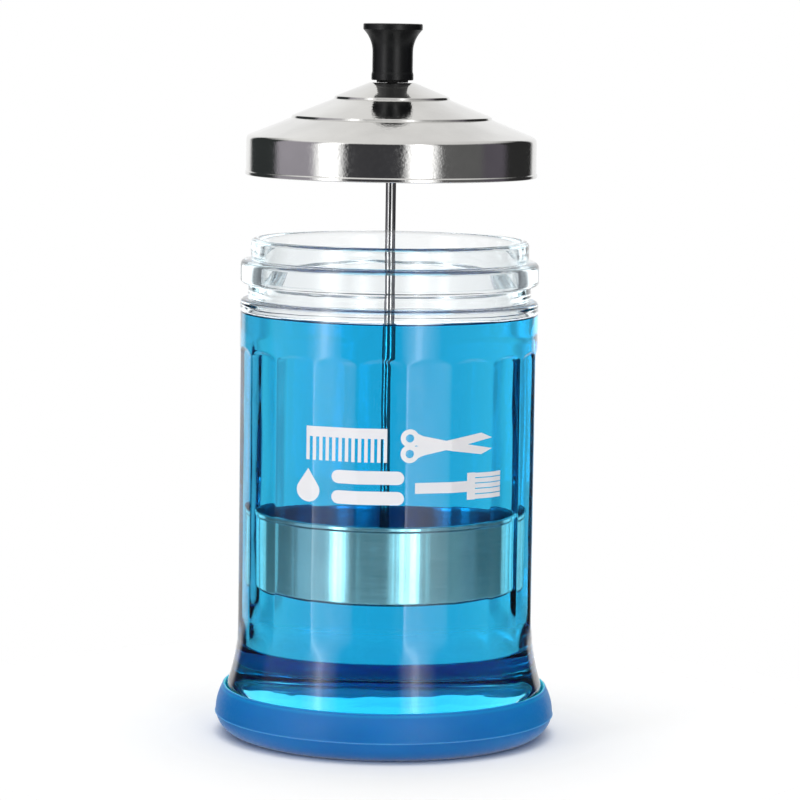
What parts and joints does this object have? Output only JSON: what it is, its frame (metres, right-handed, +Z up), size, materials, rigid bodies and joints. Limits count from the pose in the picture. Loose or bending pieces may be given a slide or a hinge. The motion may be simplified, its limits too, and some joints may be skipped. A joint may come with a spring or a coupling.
{
  "type": "disinfectant jar",
  "caption": "Panelled glass jar in a soft round boot, with a steel lid whose knob lifts a rod and a perforated basket out of the liquid.",
  "frame": {"origin": "centre of the boot's underside, on the surface that the jar stands on", "axes": "+Z up along the jar's axis; -Y towards the printed front; +X to the right seen from the front"},
  "size_m": [0.131, 0.131, 0.2731],
  "materials": {
    "clear_glass": "clear pressed glass",
    "blue_vinyl": "satin moulded soft vinyl",
    "white_ink": "screen-printed ink",
    "polished_steel": "polished stainless steel",
    "brushed_steel": "brushed stainless steel",
    "bright_steel": "bright drawn steel",
    "black_plastic": "satin moulded plastic",
    "black_fibre": "matt fibre washer",
    "brass": "turned brass",
    "blue_liquid": "clear blue disinfectant, in the visual model only"
  },
  "bodies": {
    "jar": {"glass_jar": "clear_glass", "base_boot": "blue_vinyl", "front_marking": "white_ink"},
    "lid": {"lid_shell": "polished_steel"},
    "basket_lift": {"knob": "black_plastic", "knob_insert": "brass", "knob_washer": "black_fibre", "lid_washer": "bright_steel", "lid_spring_washer": "bright_steel", "lid_nut": "bright_steel", "lift_rod": "bright_steel", "basket_band": "brushed_steel", "basket_floor": "brushed_steel", "basket_nut": "bright_steel", "basket_upper_washer": "bright_steel", "basket_lower_washer": "bright_steel", "basket_lower_nut": "bright_steel"}
  },
  "joints": [
    {"name": "lift", "type": "slide", "parent": "jar", "child": "lid", "axis": [0, 0, 1], "range_m": [-0.0323, 0.145]},
    {"name": "knob_turn", "type": "hinge", "parent": "lid", "child": "basket_lift", "pos_m": [0, 0, 0.25], "axis": [0, 0, 1], "continuous": true}
  ]
}
